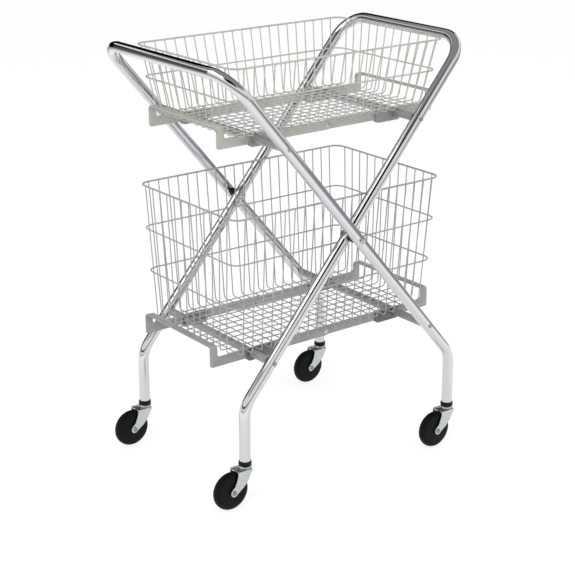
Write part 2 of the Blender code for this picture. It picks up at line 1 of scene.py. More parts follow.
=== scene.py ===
# %% [markdown]
# # A folding utility cart
# Two bent chrome tubes cross like an X and roll on four swivel casters. Between them hang two hinged shelves
# of flat steel bar, and on each shelf stands a welded wire basket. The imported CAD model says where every
# piece is and how it moves. This lesson gives each of those pieces its fine shape and its real finish.

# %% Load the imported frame
import math

import bmesh
import bpy
from mathutils import Matrix, Vector


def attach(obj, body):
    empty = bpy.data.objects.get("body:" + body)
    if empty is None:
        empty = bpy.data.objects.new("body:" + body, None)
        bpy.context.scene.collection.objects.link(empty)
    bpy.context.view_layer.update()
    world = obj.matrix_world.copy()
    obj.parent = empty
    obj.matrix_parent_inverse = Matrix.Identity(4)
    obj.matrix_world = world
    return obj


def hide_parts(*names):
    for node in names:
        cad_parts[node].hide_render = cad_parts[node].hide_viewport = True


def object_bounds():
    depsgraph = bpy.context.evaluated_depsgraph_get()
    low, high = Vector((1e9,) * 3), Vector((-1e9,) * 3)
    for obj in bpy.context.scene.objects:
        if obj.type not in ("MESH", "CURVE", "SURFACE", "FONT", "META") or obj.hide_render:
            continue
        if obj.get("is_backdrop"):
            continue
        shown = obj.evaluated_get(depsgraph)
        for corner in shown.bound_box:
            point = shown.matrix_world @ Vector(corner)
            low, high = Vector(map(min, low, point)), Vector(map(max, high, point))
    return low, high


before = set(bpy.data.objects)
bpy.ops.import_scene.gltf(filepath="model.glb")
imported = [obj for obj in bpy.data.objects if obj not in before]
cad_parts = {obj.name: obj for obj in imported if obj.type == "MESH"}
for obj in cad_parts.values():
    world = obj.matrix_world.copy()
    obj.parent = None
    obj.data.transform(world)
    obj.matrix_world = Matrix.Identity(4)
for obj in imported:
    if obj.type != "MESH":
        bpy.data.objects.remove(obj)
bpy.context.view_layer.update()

# %% [markdown]
# ## Sizes
# Every fine piece has to sit where its CAD piece sits, so the cart's own sizes come first, in metres.
# They are the maker's sizes: a 22.2 mm tube, 76.2 mm wheels, 15.9 mm stretchers and 19 mm rails.

# %% Sizes of the cart
MM = 0.001
TUBE_R = 11.1 * MM
OUTER_HALF = 212.6 * MM
INNER_HALF = 179.1 * MM
HANDLE_X = 297 * MM
HANDLE_Z = 848 * MM
FOOT_X = 249 * MM
FOOT_BEND_Z = 202.5 * MM
HANDLE_BEND_R = 58 * MM
FOOT_BEND_R = 60 * MM
UPPER_Z = 703.5 * MM
LOWER_Z = 278.5 * MM
WHEEL_R = 38.1 * MM
TRAIL = 35 * MM
PIVOT_X = (FOOT_X + TRAIL + WHEEL_R - HANDLE_X - TUBE_R) / 2
LEG_SLOPE = (HANDLE_X + FOOT_X) / (HANDLE_Z - FOOT_BEND_Z)
PIVOT_Z = HANDLE_Z - HANDLE_X / LEG_SLOPE
UPPER_X = (UPPER_Z - PIVOT_Z) * LEG_SLOPE
LOWER_X = (PIVOT_Z - LOWER_Z) * LEG_SLOPE
GAP = 0.3 * MM
print("The frames cross at", round(PIVOT_X, 4), round(PIVOT_Z, 4))

# %% [markdown]
# ## The camera
# A product photographer stands a little above the cart and turns it so that one corner comes forward.
# The lens is long, so the legs stay nearly parallel. The camera is made first. Its small vertical shift
# is how far the picture was cropped off centre.

# %% Camera
VIEW_AZIMUTH = math.radians(-37.543)
VIEW_TILT = math.radians(17.994)
VIEW_FROM = Vector((-1.7520 + PIVOT_X, -2.2687, 1.3722))
FOCAL_PIXELS = 1480.65
PICTURE = 575
looking = Vector((-math.sin(VIEW_AZIMUTH) * math.cos(VIEW_TILT), math.cos(VIEW_AZIMUTH) * math.cos(VIEW_TILT),
                  -math.sin(VIEW_TILT)))
camera = bpy.data.objects.new("camera", bpy.data.cameras.new("camera"))
bpy.context.scene.collection.objects.link(camera)
camera.data.sensor_width = 36
camera.data.lens = FOCAL_PIXELS / PICTURE * 36
camera.data.shift_y = -47.5 / PICTURE
camera.location = VIEW_FROM
camera.rotation_mode = "QUATERNION"
camera.rotation_quaternion = looking.to_track_quat("-Z", "Y")
bpy.context.scene.camera = camera
print("lens", round(camera.data.lens, 1), "mm")

# %% [markdown]
# ## Colours and nodes
# Colours are given as screen colours, so one function turns a hex colour into the linear numbers
# that a shader takes. One more small function adds a node with its settings and links.

# %% Colour and node helpers
def linear(hex_colour):
    """A screen colour such as "#C9C8BE" as linear red, green, blue and alpha."""
    parts = [int(hex_colour[i:i + 2], 16) / 255 for i in (1, 3, 5)]
    return tuple(p / 12.92 if p <= 0.04045 else ((p + 0.055) / 1.055) ** 2.4 for p in parts) + (1.0,)


def add(tree, kind, settings=None, inputs=None):
    """Add one node. Inputs are plain values or sockets of other nodes."""
    node = tree.nodes.new(kind)
    for name, value in (settings or {}).items():
        setattr(node, name, value)
    for name, value in (inputs or {}).items():
        if isinstance(value, bpy.types.NodeSocket):
            tree.links.new(value, node.inputs[name])
        else:
            node.inputs[name].default_value = value
    return node


def finish(name, colour, metallic, roughness, **sockets):
    """A Principled finish of one colour. Returns the material, its node tree and its shader."""
    made = bpy.data.materials.new(name)
    made.use_nodes = True
    shader = made.node_tree.nodes["Principled BSDF"]
    shader.inputs["Base Color"].default_value = linear(colour)
    shader.inputs["Metallic"].default_value = metallic
    shader.inputs["Roughness"].default_value = roughness
    for socket, value in sockets.items():
        shader.inputs[socket.replace("_", " ")].default_value = value
    return made, made.node_tree, shader


def grain(tree, size_mm, detail=2.0):
    """Noise whose grains are size_mm across, on Object coordinates, which are metres here."""
    where = add(tree, "ShaderNodeTexCoord")
    return add(tree, "ShaderNodeTexNoise", inputs={"Vector": where.outputs["Object"],
                                                   "Scale": 1000 / size_mm, "Detail": detail})


def shade_range(tree, noise, low, high, start=0.3, end=0.7):
    """Turn noise into a slow change between two colours."""
    return add(tree, "ShaderNodeMix", {"data_type": "RGBA"}, {
        "Factor": add(tree, "ShaderNodeMapRange", inputs={
            "Value": noise.outputs["Fac"], "From Min": start, "From Max": end}).outputs["Result"],
        "A": linear(low), "B": linear(high)})


def roughen(tree, shader, noise, low, high):
    """Let the roughness wander between two values."""
    spread = add(tree, "ShaderNodeMapRange", inputs={"Value": noise.outputs["Fac"], "From Min": 0.3,
                                                     "From Max": 0.7, "To Min": low, "To Max": high})
    tree.links.new(spread.outputs["Result"], shader.inputs["Roughness"])


def bump(tree, shader, noise, height_mm, strength=0.5):
    """Raise the surface by the noise."""
    raised = add(tree, "ShaderNodeBump", inputs={"Height": noise.outputs["Fac"], "Distance": height_mm * MM,
                                                 "Strength": strength})
    tree.links.new(raised.outputs["Normal"], shader.inputs["Normal"])


def colour_socket(node):
    """The colour output of a Mix node set to RGBA."""
    return [out for out in node.outputs if out.type == "RGBA"][0]


print("#C9C8BE is", [round(v, 3) for v in linear("#C9C8BE")])

# %% [markdown]
# ## Finishes
# Chrome plate is a mirror with a cool tint: the steel under it was polished, so only a very low, slow
# waviness is left. Zinc plate on the casters is duller and a little blue, with cloudy crystals, and the
# axle pins are plain steel, darker than the zinc. The shelves and baskets have a baked coat over steel,
# a little warmer on the upper level, which gives a satin sheen; on the lower level the coats are darker,
# as painted shade under the upper basket. The wheels are moulded black rubber and the collars black
# nylon, both so dark that only their sheen shows their shape.

# %% Metal finishes
chrome, chrome_tree, chrome_shader = finish("polished_chrome_plate", "#D0D0D2", 1.0, 0.06)
chrome_waves = grain(chrome_tree, 9, 1.0)
bump(chrome_tree, chrome_shader, chrome_waves, 0.02, 0.25)
roughen(chrome_tree, chrome_shader, grain(chrome_tree, 30, 3.0), 0.03, 0.07)

zinc, zinc_tree, zinc_shader = finish("zinc_plated_steel", "#C4C8C9", 1.0, 0.30)
zinc_clouds = grain(zinc_tree, 4, 3.0)
zinc_tree.links.new(colour_socket(shade_range(zinc_tree, zinc_clouds, "#BCC1C2", "#CCD0D1")),
                    zinc_shader.inputs["Base Color"])
roughen(zinc_tree, zinc_shader, zinc_clouds, 0.26, 0.34)
bump(zinc_tree, zinc_shader, grain(zinc_tree, 0.8, 2.0), 0.03, 0.3)

# The axle pins are plain steel, darker than the zinc plate round them.
pin_steel, pin_tree, pin_shader = finish("darker_axle_pin_steel", "#8A8E8F", 1.0, 0.34)
roughen(pin_tree, pin_shader, grain(pin_tree, 3, 3.0), 0.28, 0.40)
bump(pin_tree, pin_shader, grain(pin_tree, 0.8, 2.0), 0.03, 0.3)
print("metals:", chrome.name, zinc.name, pin_steel.name)

# %% Painted and plated steel of the shelves and baskets
def coated_steel(name, dark, light, roughness):
    """Satin coated steel: a slow change of shade and the faint orange peel of a baked coat."""
    made, tree, shader = finish(name, light, 0.0, roughness, Coat_Weight=0.25, Coat_Roughness=0.2)
    slow = grain(tree, 60, 3.0)
    tree.links.new(colour_socket(shade_range(tree, slow, dark, light)), shader.inputs["Base Color"])
    roughen(tree, shader, grain(tree, 12, 3.0), roughness - 0.06, roughness + 0.06)
    bump(tree, shader, grain(tree, 1.6, 2.0), 0.03, 0.35)
    return made


# The lower level's wire, bar and saddle coats are darker copies of the upper ones: painted shade under the
# upper basket. The upper level's slight warmth is the coat's own colour.
upper_wire = coated_steel("warm_lacquered_wire", "#C2C2BC", "#D4D4CE", 0.34)
lower_wire = coated_steel("grey_wire_painted_shade", "#A6A7A7", "#BCBDBC", 0.34)
upper_shelf = coated_steel("warm_coated_bar", "#BBBBB5", "#CDCDC7", 0.38)
lower_shelf = coated_steel("grey_bar_painted_shade", "#A0A1A1", "#B2B3B2", 0.38)
stretcher_coat = coated_steel("grey_coated_rod", "#8E9091", "#A4A6A7", 0.36)
bracket_coat = coated_steel("dark_grey_bracket_painted_shade", "#646565", "#777878", 0.42)
pale_bracket_coat = coated_steel("mid_grey_bracket", "#9A9A98", "#ACACA9", 0.42)
print("coats:", upper_wire.name, lower_wire.name)

# %% Black nylon and rubber
nylon, nylon_tree, nylon_shader = finish("moulded_black_nylon", "#0B0B0B", 0.0, 0.36, Specular_IOR_Level=0.3)
bump(nylon_tree, nylon_shader, grain(nylon_tree, 1.2, 2.0), 0.03, 0.4)

rubber, rubber_tree, rubber_shader = finish("moulded_black_rubber", "#070707", 0.0, 0.52,
                                            Specular_IOR_Level=0.16)
rubber_dust = grain(rubber_tree, 14, 4.0)
rubber_tree.links.new(colour_socket(shade_range(rubber_tree, rubber_dust, "#040404", "#0B0B0B")),
                      rubber_shader.inputs["Base Color"])
roughen(rubber_tree, rubber_shader, rubber_dust, 0.46, 0.60)
bump(rubber_tree, rubber_shader, grain(rubber_tree, 0.9, 2.0), 0.05, 0.5)
print("plastics:", nylon.name, rubber.name)

# %% [markdown]
# ## Making and placing a piece
# Every piece is drawn in a bmesh, cleaned, shaded smooth between its sharp edges, and then told which body
# it rides on, which CAD pieces it stands for and which finish it has.

# %% Finish a bmesh as a piece of the cart
made_count = {"pieces": 0, "triangles": 0}


def piece(name, shape, material, body, nodes, sharp=38):
    """Turn a bmesh into an object at the origin that rides on a body and stands for CAD nodes."""
    bmesh.ops.remove_doubles(shape, verts=shape.verts, dist=0.000002)
    bmesh.ops.recalc_face_normals(shape, faces=shape.faces)
    mesh = bpy.data.meshes.new(name)
    shape.to_mesh(mesh)
    made_count["pieces"] += 1
    made_count["triangles"] += sum(len(face.verts) - 2 for face in shape.faces)
    shape.free()
    mesh.shade_smooth()
    mesh.set_sharp_from_angle(angle=math.radians(sharp))
    mesh.materials.append(material)
    item = bpy.data.objects.new(name, mesh)
    bpy.context.scene.collection.objects.link(item)
    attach(item, body)
    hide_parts(*nodes)
    return item


def moved(shape, matrix):
    """Move or turn everything in a bmesh."""
    bmesh.ops.transform(shape, matrix=matrix, verts=shape.verts)
    return shape


# %% [markdown]
# ## Bent tube and wire
# The mill bends a straight tube round a former, so its path is straight runs joined by arcs. A round section
# is drawn once, at the path's start, and then extruded from point to point. Each new ring is turned with the
# path but never twisted about it, which keeps the facets running straight along the tube.

# %% Paths and sweeping
def arcs(points, radii, steps, closed=False):
    """Points of a path whose corners are replaced by arcs."""
    path = []
    count = len(points)
    for i, corner in enumerate(points):
        here, radius = Vector(corner), radii[i]
        if radius <= 0 or (not closed and i in (0, count - 1)):
            path.append(here)
            continue
        back = (Vector(points[i - 1]) - here).normalized()
        ahead = (Vector(points[(i + 1) % count]) - here).normalized()
        half = back.angle(ahead) / 2
        reach = radius / math.tan(half)
        middle = here + (back + ahead).normalized() * radius / math.sin(half)
        start = here + back * reach - middle
        sweep = math.pi - 2 * half
        side = ((here + ahead * reach - middle) - start * math.cos(sweep)) / math.sin(sweep)
        path += [middle + start * math.cos(sweep * k / steps) + side * math.sin(sweep * k / steps)
                 for k in range(steps + 1)]
    return path


def along(path, closed=False):
    """A placing matrix for each point: local Z runs along the path, and nothing twists about it."""
    count = len(path)
    places = []
    turn = None
    for i, point in enumerate(path):
        before = path[i - 1] if closed or i > 0 else point
        after = path[(i + 1) % count] if closed or i < count - 1 else point
        heading = (Vector(after) - Vector(before)).normalized()
        if turn is None:
            turn = heading.to_track_quat("Z", "X")
        else:
            turn = (turn @ Vector((0, 0, 1))).rotation_difference(heading) @ turn
        places.append(Matrix.Translation(point) @ turn.to_matrix().to_4x4())
    return places


def swept(shape, path, radius, sides, closed=False):
    """Extrude a ring of the given radius along a path, inside the bmesh."""
    places = along(path, closed)
    ring = bmesh.ops.create_circle(shape, segments=sides, radius=radius, matrix=places[0])["verts"]
    first = last = list({edge for vert in ring for edge in vert.link_edges})
    for before, after in zip(places, places[1:]):
        grown = bmesh.ops.extrude_edge_only(shape, edges=last)["geom"]
        verts = [part for part in grown if isinstance(part, bmesh.types.BMVert)]
        bmesh.ops.transform(shape, matrix=after @ before.inverted(), verts=verts)
        fresh = set(verts)
        last = [part for part in grown if isinstance(part, bmesh.types.BMEdge)
                and part.verts[0] in fresh and part.verts[1] in fresh]
    if closed:
        bmesh.ops.bridge_loops(shape, edges=first + last)
    else:
        bmesh.ops.contextual_create(shape, geom=first)
        bmesh.ops.contextual_create(shape, geom=last)


def joined(*shapes):
    """One bmesh that holds several."""
    whole = bmesh.new()
    for shape in shapes:
        carrier = bpy.data.meshes.new("carrier")
        shape.to_mesh(carrier)
        shape.free()
        whole.from_mesh(carrier)
        bpy.data.meshes.remove(carrier)
    return whole


# %% [markdown]
# ## The two frames
# Each frame is one tube: foot, leg, handle bar, leg and foot. The outer frame has its handle on the left and
# the inner one on the right, and they cross where the legs meet. The inner frame is narrower by a tube and a
# spacer on each side, so that the frames can pass like scissors.

# %% Frame tubes
COLLAR_TOP = 92.5 * MM


def frame_tube(name, way, half):
    """The bent tube of one frame, in the cart's place."""
    foot_x = PIVOT_X - way * FOOT_X
    top_x = PIVOT_X + way * HANDLE_X
    corners = [(foot_x, -half, COLLAR_TOP + GAP), (foot_x, -half, FOOT_BEND_Z), (top_x, -half, HANDLE_Z),
               (top_x, half, HANDLE_Z), (foot_x, half, FOOT_BEND_Z), (foot_x, half, COLLAR_TOP + GAP)]
    shape = bmesh.new()
    bends = [0, FOOT_BEND_R, HANDLE_BEND_R, HANDLE_BEND_R, FOOT_BEND_R, 0]
    swept(shape, arcs(corners, bends, 14), TUBE_R, 32)
    return piece("chrome_" + name, shape, chrome, name, [name + "_tube"])


frame_tube("frame_outer", -1, OUTER_HALF)
frame_tube("frame_inner", 1, INNER_HALF)
print("frames:", made_count)

# %% [markdown]
# ## Turned pieces
# Stretchers, bolts, rivets, collars and wheels are all turned, so each is half an outline spun about its
# axis. The outline is drawn as points, joined by edges, and `spin` closes it into a solid.

# %% Spin a profile
AXIS_Y = Matrix.Rotation(math.radians(-90), 4, "X")


def spun(profile, steps, ring=False):
    """A solid of revolution about Z from (radius, height) points."""
    shape = bmesh.new()
    verts = [shape.verts.new((radius, 0, height)) for radius, height in profile]
    pairs = list(zip(verts, verts[1:])) + ([(verts[-1], verts[0])] if ring else [])
    edges = [shape.edges.new(pair) for pair in pairs]
    bmesh.ops.spin(shape, geom=verts + edges, cent=(0, 0, 0), axis=(0, 0, 1), dvec=(0, 0, 0),
                   angle=math.radians(360), steps=steps, use_merge=True, use_duplicate=False)
    bmesh.ops.remove_doubles(shape, verts=shape.verts, dist=0.000002)
    return shape


# %% [markdown]
# ## Stretchers and pivots
# A stretcher holds the legs of a frame apart. Its ends are turned down, pass through the legs and are peened
# over into low heads. A bolt through both frames, with a nylon spacer between them, is the pivot of the X.

# %% Stretchers
STRETCHER_R = 7.95 * MM


def stretcher(tag, half, frame_name, x, z):
    """A round bar between the legs of a frame, with a peened head outside each leg."""
    inner = half - TUBE_R - GAP
    outer = half + TUBE_R + GAP
    head = [(0, outer + 1.8 * MM), (2.0 * MM, outer + 1.7 * MM), (3.6 * MM, outer + 1.2 * MM),
            (4.6 * MM, outer + 0.3 * MM), (4.6 * MM, outer), (3.2 * MM, outer), (3.2 * MM, inner),
            (STRETCHER_R - 0.5 * MM, inner), (STRETCHER_R, inner - 0.5 * MM)]
    profile = head + [(radius, -height) for radius, height in reversed(head)]
    shape = moved(spun(profile, 28), Matrix.Translation((x, 0, z)) @ AXIS_Y)
    return piece("rod_" + tag, shape, stretcher_coat, frame_name, ["stretcher_" + tag])


stretcher("outer_upper", OUTER_HALF, "frame_outer", PIVOT_X - UPPER_X, UPPER_Z)
stretcher("outer_lower", OUTER_HALF, "frame_outer", PIVOT_X + LOWER_X, LOWER_Z)
stretcher("inner_upper", INNER_HALF, "frame_inner", PIVOT_X + UPPER_X, UPPER_Z)
stretcher("inner_lower", INNER_HALF, "frame_inner", PIVOT_X - LOWER_X, LOWER_Z)
print("stretchers:", made_count)

# %% Pivot bolts, spacers and nuts
for side_name, side in (("near", -1), ("far", 1)):
    place = Matrix.Translation((PIVOT_X, 0, PIVOT_Z)) @ Matrix.Rotation(math.radians(-90 * side), 4, "X")
    face = INNER_HALF - TUBE_R - GAP
    seat = OUTER_HALF + TUBE_R + GAP
    bolt = spun([(0, seat + 4.6 * MM), (3.0 * MM, seat + 4.6 * MM), (4 * MM, seat + 3.8 * MM), (4 * MM, face),
                 (8.5 * MM, face), (8.4 * MM, face - 0.8 * MM), (6.4 * MM, face - 2.4 * MM),
                 (3.0 * MM, face - 3.2 * MM), (0, face - 3.2 * MM)], 24)
    piece("pivot_screw_" + side_name, moved(bolt, place), zinc, "pivots", ["pivot_bolt_" + side_name])
    low, high = INNER_HALF + TUBE_R + GAP, OUTER_HALF - TUBE_R - GAP
    washer = spun([(4.3 * MM, high), (8.9 * MM, high), (9.5 * MM, high - 0.6 * MM),
                   (9.5 * MM, low + 0.6 * MM), (8.9 * MM, low), (4.3 * MM, low)], 24, True)
    piece("pivot_washer_" + side_name, moved(washer, place), nylon, "pivots", ["pivot_spacer_" + side_name])
    nut = spun([(4.9 * MM, seat + 3.5 * MM), (6.0 * MM, seat + 3.5 * MM), (6.6 * MM, seat + 2.7 * MM),
                (6.6 * MM, seat), (4.9 * MM, seat)], 6, True)
    piece("pivot_hex_nut_" + side_name, moved(nut, place), zinc, "pivots", ["pivot_nut_" + side_name],
          sharp=25)
print("pivots:", made_count)

# %% [markdown]
# ## Flat bar shelves
# A shelf half is bent and welded from flat bar: two rails on edge, each turned up at its outer end, and a
# flat strip that bridges the two turned-up ends and stops the basket. The outline of a rail is drawn flat,
# filled round its holes, extruded to 3 mm and bevelled, because a sheared edge is never perfectly sharp. The
# strip is the outline of a wide staple, extruded to the width of the bar.

# %% Flat plates
FLAT_TO_UPRIGHT = Matrix.Rotation(math.radians(90), 4, "X")


def outline_plate(outline, holes, thickness, soften, sides=28):
    """A plate in the XZ plane, centred on Y = 0, with round holes given as (x, z, radius)."""
    shape = bmesh.new()
    verts = [shape.verts.new((x, z, 0)) for x, z in outline]
    edges = [shape.edges.new(pair) for pair in zip(verts, verts[1:] + verts[:1])]
    for x, z, radius in holes:
        ring = bmesh.ops.create_circle(shape, segments=sides, radius=radius,
                                       matrix=Matrix.Translation((x, z, 0)))["verts"]
        edges += list({edge for vert in ring for edge in vert.link_edges})
    if holes:
        bmesh.ops.triangle_fill(shape, use_beauty=True, edges=edges)
    else:
        shape.faces.new(verts)
    bmesh.ops.recalc_face_normals(shape, faces=shape.faces)
    grown = bmesh.ops.extrude_face_region(shape, geom=list(shape.faces))["geom"]
    lifted = [part for part in grown if isinstance(part, bmesh.types.BMVert)]
    bmesh.ops.translate(shape, verts=lifted, vec=(0, 0, thickness))
    bmesh.ops.translate(shape, verts=shape.verts, vec=(0, 0, -thickness / 2))
    bmesh.ops.recalc_face_normals(shape, faces=shape.faces)
    if soften > 0:
        rims = [edge for edge in shape.edges if edge.is_manifold and edge.calc_face_angle() > 1.2]
        bmesh.ops.bevel(shape, geom=rims, offset=soften, offset_type="OFFSET", segments=2, profile=0.5,
                        affect="EDGES", clamp_overlap=True, material=-1)
    return moved(shape, FLAT_TO_UPRIGHT)


def bar(size, centre, soften):
    """A bevelled flat bar from a cube."""
    shape = bmesh.new()
    bmesh.ops.create_cube(shape, size=1, matrix=Matrix.Translation(centre) @ Matrix.Diagonal((*size, 1)))
    bmesh.ops.bevel(shape, geom=list(shape.edges), offset=soften, offset_type="OFFSET", segments=2,
                    profile=0.5, affect="EDGES", clamp_overlap=True, material=-1)
    return shape


# %% Shelf halves
SHELF_ENDS = {"upper_left": 259 * MM, "upper_right": 274 * MM,
              "lower_left": 281 * MM, "lower_right": 277.5 * MM}
RAIL_T = 3 * MM
RAIL_H = 19 * MM
UPRIGHT_W = 16 * MM
UPRIGHT_H = 43 * MM
STRIP_T = 2.4 * MM
STRIP_BEND = 6.5 * MM
LEFT_RAIL_Y = 113.5 * MM
RIGHT_RAIL_Y = LEFT_RAIL_Y - RAIL_T - GAP


def rail_outline(way, reach, end):
    """Edge of one rail about its stretcher axis, with its turned-up end and its rounded lap end."""
    low, high = -RAIL_H / 2, RAIL_H / 2
    neck = low + UPRIGHT_H - STRIP_BEND
    corners = [(end, low, 0), (end, neck, 0), (end - UPRIGHT_W, neck, 0), (end - UPRIGHT_W, high, 0),
               (-reach, high, 0), (-reach, low, 0)]
    edge = [(point[0], point[1]) for point in arcs(corners, [5 * MM, 0, 0, 6 * MM, 0, 0], 5, True)[:-2]]
    lap = [(-reach + high * math.cos(math.pi * (0.5 + k / 12)), high * math.sin(math.pi * (0.5 + k / 12)))
           for k in range(13)]
    return [(way * x, z) for x, z in edge + lap]


def end_strip(rail_y):
    """The flat strip across a shelf's end, seen from the end, its two legs bent down along the uprights."""
    tip = -RAIL_H / 2 + UPRIGHT_H
    half, foot = rail_y + STRIP_T / 2, tip - STRIP_BEND - 6 * MM
    inside, under = half - STRIP_T, tip - STRIP_T
    tight = STRIP_BEND - STRIP_T
    corners = [(-half, foot, 0), (-half, tip, 0), (half, tip, 0), (half, foot, 0),
               (inside, foot, 0), (inside, under, 0), (-inside, under, 0), (-inside, foot, 0)]
    path = arcs(corners, [0, STRIP_BEND, STRIP_BEND, 0, 0, tight, tight, 0], 6, True)
    strip = outline_plate([(point[0], point[1]) for point in path], [], UPRIGHT_W, 0.4 * MM)
    return moved(strip, Matrix.Rotation(math.radians(90), 4, "Z"))


for level, z, reach, coat in (("upper", UPPER_Z, UPPER_X, upper_shelf),
                              ("lower", LOWER_Z, LOWER_X, lower_shelf)):
    for hand, way, rail_y in (("left", -1, LEFT_RAIL_Y), ("right", 1, RIGHT_RAIL_Y)):
        end = SHELF_ENDS[level + "_" + hand] - reach
        holes = [(0, 0, STRETCHER_R + GAP)]
        rails = [moved(outline_plate(rail_outline(way, reach, end), holes, RAIL_T, 0.5 * MM),
                       Matrix.Translation((0, side * rail_y, 0))) for side in (-1, 1)]
        cross = moved(end_strip(rail_y), Matrix.Translation((way * (end - UPRIGHT_W / 2), 0, 0)))
        whole = moved(joined(*rails, cross), Matrix.Translation((PIVOT_X + way * reach, 0, z)))
        body = "shelf_" + level + "_" + hand
        piece("flat_bar_" + level + "_" + hand, whole, coat, body, [body])
print("shelves:", made_count)

# %% [markdown]
# ## Saddles and lap rivets
# A dark saddle wraps each rail from below where the stretcher goes through it. It spreads the load of the
# thin rail and keeps the shelf square. In the middle of each shelf the two halves lap and a rivet joins them.

# %% Saddles under the rails
BRACKET_IN = 52 * MM
BRACKET_OUT = 11.5 * MM
SADDLE_WALL = 2.7 * MM
SADDLE_FLOOR = 5.5 * MM


def saddle(way):
    """A U-shaped saddle about the stretcher axis, open at its top."""
    low, high = -RAIL_H / 2 - GAP - SADDLE_FLOOR, RAIL_H / 2 - GAP
    wide = RAIL_T / 2 + GAP
    corners = [(BRACKET_OUT, low, 0), (BRACKET_OUT, high, 0), (-BRACKET_IN, high, 0), (-BRACKET_IN, low, 0)]
    edge = [(way * point[0], point[1])
            for point in arcs(corners, [6 * MM, 4 * MM, 3 * MM, 8 * MM], 4, True)]
    cheeks = [moved(outline_plate(edge, [(0, 0, STRETCHER_R + GAP)], SADDLE_WALL, 0.5 * MM),
                    Matrix.Translation((0, side * (wide + SADDLE_WALL / 2), 0))) for side in (-1, 1)]
    middle = way * (BRACKET_OUT - BRACKET_IN) / 2
    floor = bar((BRACKET_OUT + BRACKET_IN - 15 * MM, 2 * wide + SADDLE_WALL, SADDLE_FLOOR),
                (middle, 0, low + SADDLE_FLOOR / 2), 0.4 * MM)
    return joined(*cheeks, floor)


for level, z, reach in (("upper", UPPER_Z, UPPER_X), ("lower", LOWER_Z, LOWER_X)):
    for hand, way, rail_y in (("left", -1, LEFT_RAIL_Y), ("right", 1, RIGHT_RAIL_Y)):
        for side_name, side in (("near", -1), ("far", 1)):
            tag = level + "_" + hand + "_" + side_name
            shape = moved(saddle(way), Matrix.Translation((PIVOT_X + way * reach, side * rail_y, z)))
            # The lower saddles take the darker coat: painted shade under the upper level.
            coat = pale_bracket_coat if level == "upper" else bracket_coat
            piece("saddle_" + tag, shape, coat, "shelf_" + level + "_" + hand, ["bracket_" + tag])
            outward = side if hand == "left" else -side
            face = RAIL_T / 2 + GAP
            rivet = spun([(0, face + 2.0 * MM), (1.8 * MM, face + 1.9 * MM), (3.9 * MM, face + 1.3 * MM),
                          (5.5 * MM, face + 0.2 * MM), (5.5 * MM, face), (2.5 * MM, face),
                          (2.5 * MM, -RAIL_T / 2), (0, -RAIL_T / 2)], 20)
            place = Matrix.Translation((PIVOT_X, side * rail_y, z)) @ Matrix.Rotation(
                math.radians(-90 * outward), 4, "X")
            kind = "lap_rivet_" if hand == "left" else "lap_tail_"
            piece("headed_" + kind + level + "_" + side_name, moved(rivet, place), zinc,
                  "shelf_" + level + "_" + hand, [kind + level + "_" + side_name])
print("saddles and rivets:", made_count)

# %% [markdown]
# ## Welded wire baskets
# Such a basket is a mat of crossed wires, resistance welded at each crossing and then bent up at all four
# sides. So each wire is one long U: up one wall, across the bottom and up the other wall. The walls flare,
# the wires fan out with them, and hoops of heavier wire tie them together. Each wire is swept by itself, the
# lengthwise ones lying on the crosswise ones, as they do in the welding jig.

# %% Basket shape
RIM_X, RIM_Y = 256 * MM, 164.5 * MM
BOTTOMS = {"upper": (236.5 * MM, 138 * MM), "lower": (247 * MM, 142 * MM)}
CELLS_X, CELLS_Y = 22, 13
WIRE_R = 1.2 * MM
HOOP_R = 1.5 * MM
RIM_R = 1.9 * MM
CORNER = 22 * MM
FLOOR_BEND = 8 * MM


def hoop(shape, half_x, half_y, tall, radius, sides):
    """A closed ring of wire round the basket."""
    corners = [(half_x, -half_y, tall), (half_x, half_y, tall),
               (-half_x, half_y, tall), (-half_x, -half_y, tall)]
    swept(shape, arcs(corners, [CORNER] * 4, 7, True), radius, sides, True)


def basket(level, depth, hoops, base_z, material):
    """All the wires of one basket as one piece."""
    shape = bmesh.new()
    top = depth - RIM_R
    wide_x, wide_y = BOTTOMS[level]
    for i in range(1, CELLS_X):
        share = 2 * i / CELLS_X - 1
        corners = [(share * RIM_X, -RIM_Y, top), (share * wide_x, -wide_y, WIRE_R),
                   (share * wide_x, wide_y, WIRE_R), (share * RIM_X, RIM_Y, top)]
        swept(shape, arcs(corners, [0, FLOOR_BEND, FLOOR_BEND, 0], 5), WIRE_R, 8)
    for i in range(1, CELLS_Y):
        share = 2 * i / CELLS_Y - 1
        corners = [(-RIM_X, share * RIM_Y, top), (-wide_x, share * wide_y, 3 * WIRE_R),
                   (wide_x, share * wide_y, 3 * WIRE_R), (RIM_X, share * RIM_Y, top)]
        swept(shape, arcs(corners, [0, FLOOR_BEND, FLOOR_BEND, 0], 5), WIRE_R, 8)
    for share in hoops:
        hoop(shape, wide_x + (RIM_X - wide_x) * share + WIRE_R, wide_y + (RIM_Y - wide_y) * share + WIRE_R,
             depth * share, HOOP_R, 10)
    hoop(shape, RIM_X, RIM_Y, depth, RIM_R, 12)
    moved(shape, Matrix.Translation((PIVOT_X, 0, base_z)))
    body = "basket_" + level
    return piece("wire_basket_" + level, shape, material, body, [body])


basket("upper", 136 * MM, (0.538,), UPPER_Z + RAIL_H / 2 + GAP, upper_wire)
basket("lower", 280 * MM, (0.364, 0.681), LOWER_Z + RAIL_H / 2 + GAP, lower_wire)
print("baskets:", made_count)

# %% [markdown]
# ## Casters
# A black nylon collar closes the tube's end and guides the caster's stem. Below it the bright bearing cup
# turns on the fork's crown. The fork is pressed from one sheet: a domed crown with two tapering cheeks that
# end in small rounded tips at the axle. The wheel is a plain rubber disc with a rounded tread.

# %% Caster pieces about their own axes
FORK_OUT = 14.5 * MM
FORK_T = 2.2 * MM
CROWN_Z = 75.5 * MM
CROWN_T = 2.8 * MM
RACE_BOTTOM = CROWN_Z + CROWN_T + GAP
RACE_TOP = RACE_BOTTOM + 4.6 * MM
COLLAR_BOTTOM = RACE_TOP + GAP


